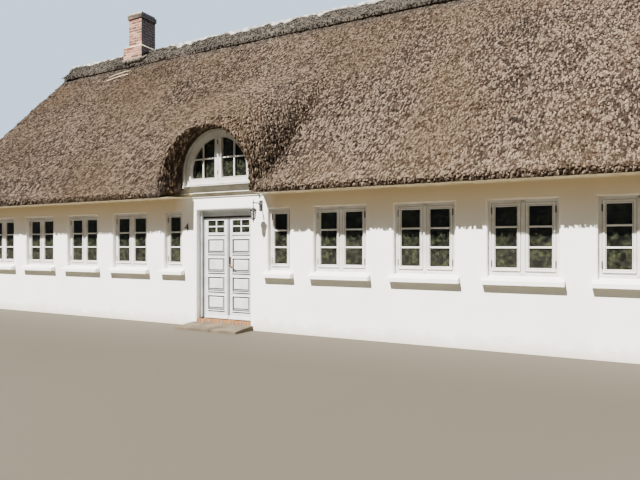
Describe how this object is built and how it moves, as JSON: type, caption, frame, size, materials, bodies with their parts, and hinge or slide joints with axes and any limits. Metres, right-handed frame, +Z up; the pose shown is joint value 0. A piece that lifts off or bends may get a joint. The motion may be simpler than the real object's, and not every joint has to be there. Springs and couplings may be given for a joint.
{
  "type": "thatched cottage",
  "caption": "Long low whitewashed cottage with a steep thatched roof, half-hipped ends, an arched thatch dormer over a double door, and a brick chimney.",
  "frame": {"origin": "on the ground under the middle of the house", "axes": "+X along the front from the chimney end to the other end, -Y is the front with the door, +Z up"},
  "size_m": [19.9, 8.32, 9.06],
  "materials": {
    "limewashed_masonry": "matt limewash on rendered brick",
    "reed_thatch": "weathered cut reed, rough",
    "ridge_straw": "weathered straw and heather, rough",
    "ridge_mortar": "weathered mortar",
    "red_brick": "fired clay brick, matt",
    "floor_boards": "planed softwood boards",
    "step_stone": "worn sandstone",
    "cream_painted_board": "cream paint",
    "grey_painted_wood": "pale grey satin paint",
    "light_grey_painted_wood": "light grey satin paint",
    "window_glass": "clear sheet glass",
    "brass": "dulled brass",
    "black_iron": "black painted iron"
  },
  "bodies": {
    "root": {"front_wall_left": "limewashed_masonry", "front_wall_right": "limewashed_masonry", "front_wall_over_door": "limewashed_masonry", "back_wall": "limewashed_masonry", "left_gable_wall": "limewashed_masonry", "right_gable_wall": "limewashed_masonry", "dormer_wall": "limewashed_masonry", "thatch_front": "reed_thatch", "thatch_back": "reed_thatch", "ridge_roll": "ridge_straw", "ridge_strip_left": "ridge_mortar", "ridge_strip_right": "ridge_mortar", "chimney": "red_brick", "door_threshold": "red_brick", "ground_floor": "floor_boards", "attic_floor": "floor_boards", "door_step": "step_stone", "front_eave_board": "cream_painted_board", "back_eave_board": "cream_painted_board", "door_frame": "grey_painted_wood", "dormer_lining": "light_grey_painted_wood", "dormer_window": "light_grey_painted_wood", "dormer_sill": "light_grey_painted_wood", "front_window_1": "light_grey_painted_wood", "front_window_2": "light_grey_painted_wood", "front_window_3": "light_grey_painted_wood", "front_window_4": "light_grey_painted_wood", "front_window_5": "light_grey_painted_wood", "front_window_6": "light_grey_painted_wood", "front_window_7": "light_grey_painted_wood", "front_window_8": "light_grey_painted_wood", "front_window_9": "light_grey_painted_wood", "front_window_10": "light_grey_painted_wood", "back_window_1": "light_grey_painted_wood", "back_window_2": "light_grey_painted_wood", "back_window_3": "light_grey_painted_wood", "back_window_4": "light_grey_painted_wood", "left_gable_window": "light_grey_painted_wood", "left_attic_window": "light_grey_painted_wood", "right_gable_window": "light_grey_painted_wood", "right_attic_window": "light_grey_painted_wood", "front_glass_left": "window_glass", "front_glass_right": "window_glass", "back_glass": "window_glass", "dormer_glass": "window_glass", "left_gable_glass": "window_glass", "right_gable_glass": "window_glass", "left_attic_glass": "window_glass", "right_attic_glass": "window_glass", "lamp_bracket": "black_iron", "lamp_lantern": "black_iron"},
    "left_leaf": {"door_leaf_left": "grey_painted_wood", "leaf_glass_left": "window_glass"},
    "right_leaf": {"door_leaf_right": "grey_painted_wood", "leaf_glass_right": "window_glass", "door_handle": "brass"}
  },
  "joints": [
    {"name": "left_leaf_hinge", "type": "hinge", "parent": "root", "child": "left_leaf", "pos_m": [-0.655, -3.245, 0], "axis": [0, 0, 1], "range_deg": [0, 100]},
    {"name": "right_leaf_hinge", "type": "hinge", "parent": "root", "child": "right_leaf", "pos_m": [0.655, -3.245, 0], "axis": [0, 0, -1], "range_deg": [0, 100]}
  ]
}
